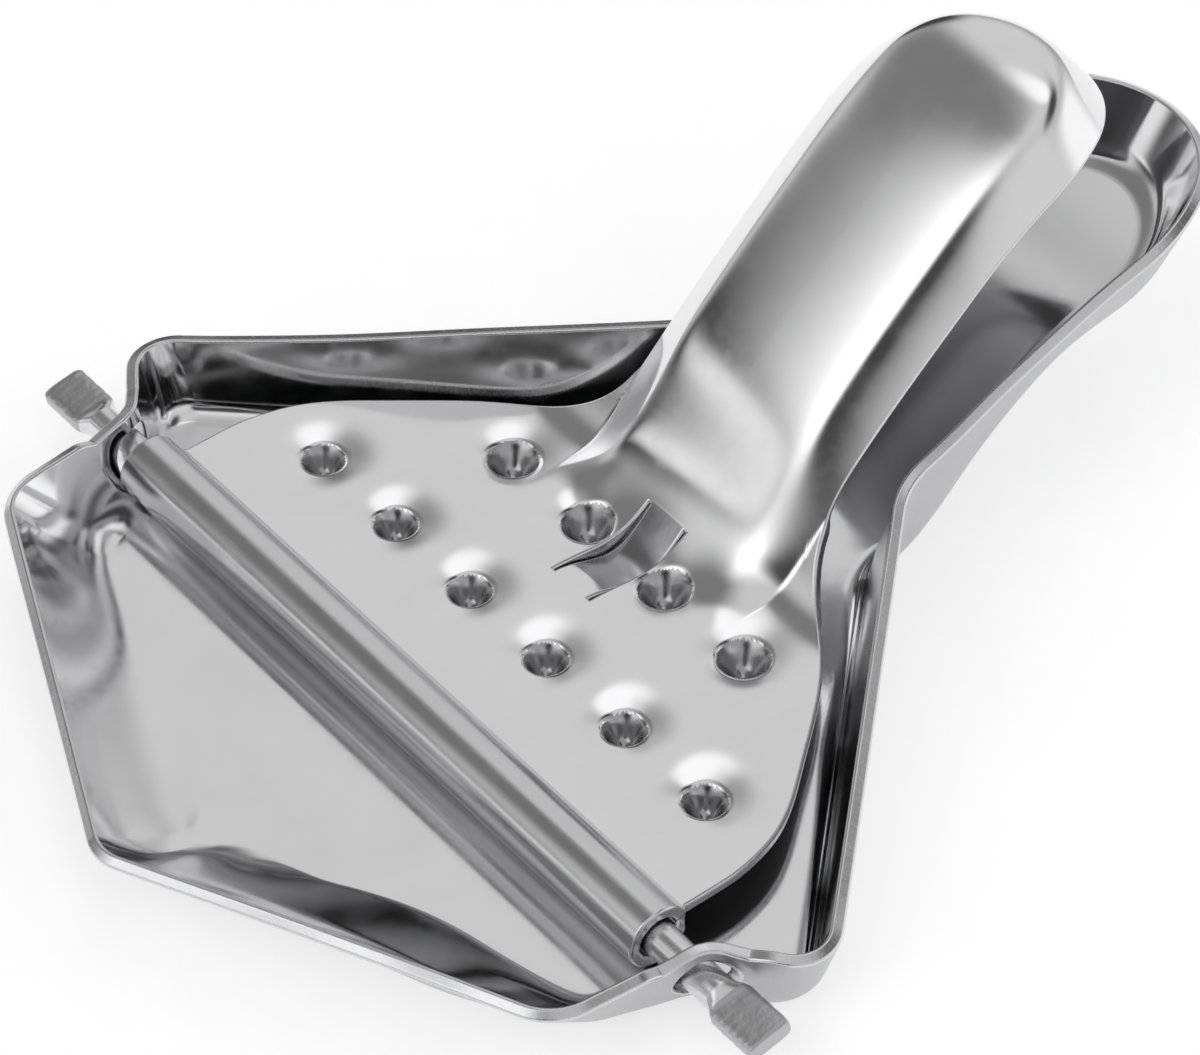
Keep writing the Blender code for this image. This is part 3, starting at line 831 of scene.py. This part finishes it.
def build_pin(materials):
    """Round rod with both ends staked flat."""
    half = [(PIN_HALF_LENGTH - inset, 1.0, shrink) for inset, shrink in PIN_END_ROUND]
    for x in np.arange(PIN_HALF_LENGTH - 0.3, PIN_ROUND_HALF - 0.01, -PIN_STEP):
        flat = float(smoothstep(PIN_ROUND_HALF, PIN_FLAT_HALF - PIN_FLAT_SHOULDER, x))
        half.append((float(x), flat, 1.0))
    for x in np.linspace(PIN_ROUND_HALF, 0.6, PIN_ROUND_RINGS):
        half.append((float(x), 0.0, 1.0))
    line = [(-x, f, s) for x, f, s in half] + [(x, f, s) for x, f, s in reversed(half)]
    rings = [pin_ring(*p) for p in line]
    points = np.vstack(rings)
    faces = []
    for i in range(len(rings) - 1):
        for k in range(PIN_SEGMENTS):
            n = (k + 1) % PIN_SEGMENTS
            a = i * PIN_SEGMENTS
            b = a + PIN_SEGMENTS
            faces.append((a + k, a + n, b + n, b + k))
    flags = [0] * len(faces)
    for end, ring in ((0, 0), (1, len(rings) - 1)):
        base = ring * PIN_SEGMENTS
        rim = points[base:base + PIN_SEGMENTS]
        centre = rim.mean(axis=0)
        loops = [base]
        for share in PIN_CAP_LOOPS:
            loops.append(len(points))
            points = np.vstack([points, centre + (rim - centre) * share])
        for a, b in zip(loops[:-1], loops[1:]):
            for k in range(PIN_SEGMENTS):
                n = (k + 1) % PIN_SEGMENTS
                quad = (a + k, b + k, b + n, a + n)
                faces.append(quad if end == 0 else tuple(reversed(quad)))
                flags.append(1)
        last = tuple(loops[-1] + k for k in range(PIN_SEGMENTS))
        faces.append(tuple(reversed(last)) if end == 0 else last)
        flags.append(1)
    # winding check on the middle of the rod
    probe = faces[len(rings) // 2 * PIN_SEGMENTS]
    a, b, c = points[probe[0]], points[probe[1]], points[probe[2]]
    facing = np.cross(b - a, c - a) @ (a - np.array((a[0], 0.0, HINGE_Z)))
    if facing < 0.0:
        faces = reverse(faces)
    for k, face in enumerate(faces):
        x = np.mean([points[v][0] for v in face[:4]]) - PIN_SHIFT
        if abs(x) > PIN_FLAT_HALF - STAKED_LENGTH:
            flags[k] = 1
    made = make_mesh("staked_pin", points, faces, None, materials, np.array(flags), "hinge_pin",
                     "hinge_pin")
    made.data.set_sharp_from_angle(angle=math.radians(50))
    return made


# ==== materials ===========================================================================

class Nodes:
    """Short way to build a node tree."""

    def __init__(self, tree):
        self.tree = tree

    def add(self, kind, inputs=None, **settings):
        node = self.tree.nodes.new(kind)
        for key, value in settings.items():
            setattr(node, key, value)
        for key, value in (inputs or {}).items():
            if hasattr(value, "links") and hasattr(value, "type"):
                self.tree.links.new(value, node.inputs[key])
            else:
                node.inputs[key].default_value = value
        return node

    def math(self, operation, a, b=None, clamp=False):
        values = {0: a}
        if b is not None:
            values[1] = b
        return self.add("ShaderNodeMath", values, operation=operation, use_clamp=clamp).outputs[0]

    def noise(self, vector, scale, detail=3.0, roughness=0.5, distortion=0.0):
        made = self.add("ShaderNodeTexNoise", {"Vector": vector, "Scale": scale, "Detail": detail,
                                               "Roughness": roughness, "Distortion": distortion})
        return made.outputs[0]

    def stretch(self, vector, scale):
        return self.add("ShaderNodeMapping", {"Vector": vector, "Scale": scale}).outputs[0]

    def remap(self, value, low, high, to_low, to_high):
        made = self.add("ShaderNodeMapRange", {"Value": value, "From Min": low, "From Max": high,
                                               "To Min": to_low, "To Max": to_high})
        return made.outputs[0]


def steel(name, colour, roughness, spread_, wave=0.02, wave_scale=90.0, scratch=(1.0, 30.0, 1.0),
          scratch_height=0.0006, grit=0.0, grit_scale=900.0):
    """Steel with smudges, fine scratches and slight unevenness of the sheet."""
    material = bpy.data.materials.new(name)
    material.use_nodes = True
    tree = material.node_tree
    shader = tree.nodes["Principled BSDF"]
    n = Nodes(tree)
    place = n.add("ShaderNodeTexCoord").outputs["Object"]
    smudge = n.noise(place, 160.0, 5.0, 0.6, 0.8)
    cloud = n.noise(place, 45.0, 3.0, 0.5, 0.3)
    fine = n.noise(n.stretch(place, tuple(s * 60.0 for s in scratch)), 12.0, 4.0, 0.65)
    tone = n.add("ShaderNodeMix", {"Factor": n.remap(smudge, 0.3, 0.7, 0.0, 1.0)}, data_type="RGBA")
    low = tuple(c * 0.955 for c in colour)
    tone.inputs[6].default_value = (*low, 1.0)
    tone.inputs[7].default_value = (*colour, 1.0)
    tree.links.new(tone.outputs[2], shader.inputs["Base Color"])
    rough = n.remap(smudge, 0.25, 0.75, roughness, roughness + spread_)
    rough = n.math("ADD", rough, n.remap(fine, 0.45, 0.8, 0.0, spread_ * 0.8))
    rough = n.math("ADD", rough, n.remap(cloud, 0.3, 0.7, 0.0, spread_ * 0.4), True)
    tree.links.new(rough, shader.inputs["Roughness"])
    shader.inputs["Metallic"].default_value = 1.0
    waves = n.noise(place, wave_scale, 1.0, 0.4, 0.2)
    first = n.add("ShaderNodeBump", {"Height": waves, "Strength": 1.0, "Distance": wave * MM})
    second = n.add("ShaderNodeBump", {"Height": fine, "Strength": 1.0,
                                      "Distance": scratch_height * MM,
                                      "Normal": first.outputs[0]})
    last = second
    if grit > 0.0:
        pits = n.noise(place, grit_scale, 3.0, 0.7)
        last = n.add("ShaderNodeBump", {"Height": pits, "Strength": 1.0, "Distance": grit * MM,
                                        "Normal": second.outputs[0]})
    tree.links.new(last.outputs[0], shader.inputs["Normal"])
    return material


# ==== light, floor and camera =============================================================

def towards(azimuth, elevation):
    """Unit vector; azimuth turns from +Y towards +X, both in degrees."""
    a, e = math.radians(azimuth), math.radians(elevation)
    return Vector((math.sin(a) * math.cos(e), math.cos(a) * math.cos(e), math.sin(e)))


def soft_card(n, direction, azimuth, elevation, half_wide, half_high, softness):
    """1 inside an oval patch of the surroundings, 0 outside, with a soft border."""
    centre = towards(azimuth, elevation)
    across = towards(azimuth + 90.0, 0.0)
    along = centre.cross(across)

    def share(axis):
        made = n.add("ShaderNodeVectorMath", {0: direction, 1: tuple(axis)},
                     operation="DOT_PRODUCT")
        return made.outputs["Value"]

    u = n.math("MULTIPLY", share(across), 1.0 / math.sin(math.radians(half_wide)))
    v = n.math("MULTIPLY", share(along), 1.0 / math.sin(math.radians(half_high)))
    reach = n.math("SQRT", n.math("ADD", n.math("MULTIPLY", u, u), n.math("MULTIPLY", v, v)))
    inside = n.add("ShaderNodeMapRange", {"Value": reach, "From Min": 1.0 - softness,
                                          "From Max": 1.0 + softness, "To Min": 1.0,
                                          "To Max": 0.0}, interpolation_type="SMOOTHSTEP")
    front = n.remap(share(centre), 0.0, 0.1, 0.0, 1.0)
    return n.math("MULTIPLY", inside.outputs[0], front)


# brightness, azimuth, elevation, half width, half height, softness of each studio card
CARDS = (
    (0.22, -115, 50, 46, 26, 0.6),
    (0.73, -38, 42, 22, 30, 0.3),
    (1.15, 34, 12, 40, 20, 0.4),
    (0.75, 88, 30, 26, 22, 0.5),
    (1.20, -36, 64, 14, 8, 0.4),
    (0.07, 20, 57, 24, 10, 0.5),
    (0.06, -64, 10, 12, 18, 0.4),
    (1.50, -178, 40, 25, 22, 0.6),
    (0.62, -110, 16, 13, 12, 0.6),
    (0.07, -130, 14, 14, 12, 0.6),
    (0.90, 112, 12, 16, 12, 0.5),
    (0.06, 142, 30, 15, 17, 0.5),
    (0.95, -147, 13, 16, 4, 0.6),
)


BASE_LEVELS = (0.42, 0.70)      # brightness round the horizon and overhead
BACKDROP = 1.0

FLOOR_SIZE = 2.5
FLOOR_STEPS = 9
FLOOR_DROP = 0.00005
FLOOR_TONES = (0.90, 0.92)
FLOOR_GLOW = 0.44

CAMERA_AZIMUTH = math.radians(51.11)
CAMERA_ELEVATION = math.radians(44.16)
CAMERA_TARGET = (-0.005548, 0.019247, 0.0008)
CAMERA_DISTANCE = 0.30092
CAMERA_LENS = 150.25
SENSOR_WIDTH = 36.0


def build_world():
    world = bpy.data.worlds.new("studio")
    bpy.context.scene.world = world
    world.use_nodes = True
    tree = world.node_tree
    tree.nodes.clear()
    n = Nodes(tree)
    direction = n.add("ShaderNodeTexCoord").outputs["Generated"]
    split = n.add("ShaderNodeSeparateXYZ", {0: direction})
    level = n.remap(split.outputs["Z"], 0.0, 1.0, *BASE_LEVELS)
    for value, azimuth, elevation, half_wide, half_high, softness in CARDS:
        mask = soft_card(n, direction, azimuth, elevation, half_wide, half_high, softness)
        blend = n.add("ShaderNodeMix", {"Factor": mask}, data_type="FLOAT")
        tree.links.new(level, blend.inputs[2])
        blend.inputs[3].default_value = value
        level = blend.outputs[0]
    seen = n.add("ShaderNodeLightPath").outputs["Is Camera Ray"]
    mixed = n.add("ShaderNodeMix", {"Factor": seen}, data_type="FLOAT")
    tree.links.new(level, mixed.inputs[2])
    mixed.inputs[3].default_value = BACKDROP
    background = n.add("ShaderNodeBackground", {"Strength": mixed.outputs[0]})
    background.inputs["Color"].default_value = (1.0, 1.0, 1.0, 1.0)
    output = n.add("ShaderNodeOutputWorld")
    tree.links.new(background.outputs[0], output.inputs["Surface"])


def build_floor():
    mesh = bpy.data.meshes.new("studio_floor")
    axis = np.linspace(-FLOOR_SIZE, FLOOR_SIZE, FLOOR_STEPS)
    points = [(x, y, 0.0) for y in axis for x in axis]
    mesh.from_pydata(points, [], grid_faces(FLOOR_STEPS, FLOOR_STEPS))
    material = bpy.data.materials.new("pale_floor")
    material.use_nodes = True
    tree = material.node_tree
    shader = tree.nodes["Principled BSDF"]
    n = Nodes(tree)
    place = n.add("ShaderNodeTexCoord").outputs["Object"]
    grain = n.noise(place, 220.0, 3.0)
    tone = n.remap(grain, 0.3, 0.7, *FLOOR_TONES)
    colour = n.add("ShaderNodeCombineColor", {0: tone, 1: tone, 2: tone})
    tree.links.new(colour.outputs[0], shader.inputs["Base Color"])
    shader.inputs["Roughness"].default_value = 0.8
    shader.inputs["Specular IOR Level"].default_value = 0.2
    shader.inputs["Emission Color"].default_value = (1.0, 1.0, 1.0, 1.0)
    shader.inputs["Emission Strength"].default_value = FLOOR_GLOW
    mesh.materials.append(material)
    floor = bpy.data.objects.new("studio_floor", mesh)
    floor.location.z = -FLOOR_DROP
    bpy.context.scene.collection.objects.link(floor)


def build_camera():
    azimuth, elevation = CAMERA_AZIMUTH, CAMERA_ELEVATION
    back = Vector((math.sin(azimuth) * math.cos(elevation),
                   -math.cos(azimuth) * math.cos(elevation), math.sin(elevation)))
    right = Vector((math.cos(azimuth), math.sin(azimuth), 0.0))
    up = back.cross(right)
    data = bpy.data.cameras.new("camera")
    data.lens = CAMERA_LENS
    data.sensor_width = SENSOR_WIDTH
    data.sensor_fit = "HORIZONTAL"
    data.clip_start = 0.01
    data.clip_end = 20.0
    camera = bpy.data.objects.new("camera", data)
    bpy.context.scene.collection.objects.link(camera)
    turn = Matrix((right, up, back)).transposed()
    place = Vector(CAMERA_TARGET) + back * CAMERA_DISTANCE
    camera.matrix_world = Matrix.Translation(place) @ turn.to_4x4()
    bpy.context.scene.camera = camera


# ==== scene ===============================================================================

tray_face = steel("tray_sheet", (0.80, 0.80, 0.81), 0.05, 0.08, scratch=(1.0, 1.0, 1.0))
plate_face = steel("plate_sheet", (0.82, 0.82, 0.83), 0.05, 0.08, scratch=(1.0, 1.0, 1.0))
cut_edge = steel("cut_edge", (0.66, 0.66, 0.67), 0.14, 0.14, grit=0.01, grit_scale=2200.0)
barrel_face = steel("barrel_sheet", (0.68, 0.68, 0.69), 0.10, 0.12, wave=0.012,
                    scratch=(0.5, 12.0, 12.0), scratch_height=0.003)
# plate underside: rougher, gritty steel, its dark colour painted shade under the plate
shaded_underside_face = steel("plate_underside_painted_shade", (0.34, 0.34, 0.35), 0.30, 0.15, grit=0.01, grit_scale=1500.0)
# tray outside: rougher, gritty steel, its darker colour painted shade on the outer walls
shaded_outer_face = steel("tray_outside_painted_shade", (0.52, 0.52, 0.53), 0.24, 0.15, grit=0.01, grit_scale=1500.0)
# tooth pits and pressed-down strip: darkened to paint the shade in these recesses; waves and
# scratches give the pressed sheet's texture
shaded_recess_face = steel("teeth_and_strip_painted_shade", (0.40, 0.40, 0.41), 0.10, 0.12, wave=0.03, wave_scale=700.0,
                   scratch=(6.0, 6.0, 0.6), scratch_height=0.003)
pin_rod = steel("pin_rod", (0.76, 0.76, 0.77), 0.14, 0.12, wave=0.004,
                scratch=(12.0, 1.0, 1.0), scratch_height=0.002)
pin_end = steel("pin_staked_end", (0.50, 0.50, 0.51), 0.26, 0.18, wave=0.05, wave_scale=600.0,
                grit=0.05, grit_scale=1500.0)

build_tray([tray_face, cut_edge, shaded_outer_face])
build_plate([plate_face, cut_edge, barrel_face, shaded_underside_face, shaded_recess_face])
build_pin([pin_rod, pin_end])
build_world()
build_floor()
build_camera()

view = bpy.context.scene.view_settings
view.view_transform = "Standard"
view.look = "None"
view.exposure = 0.0
view.gamma = 1.0
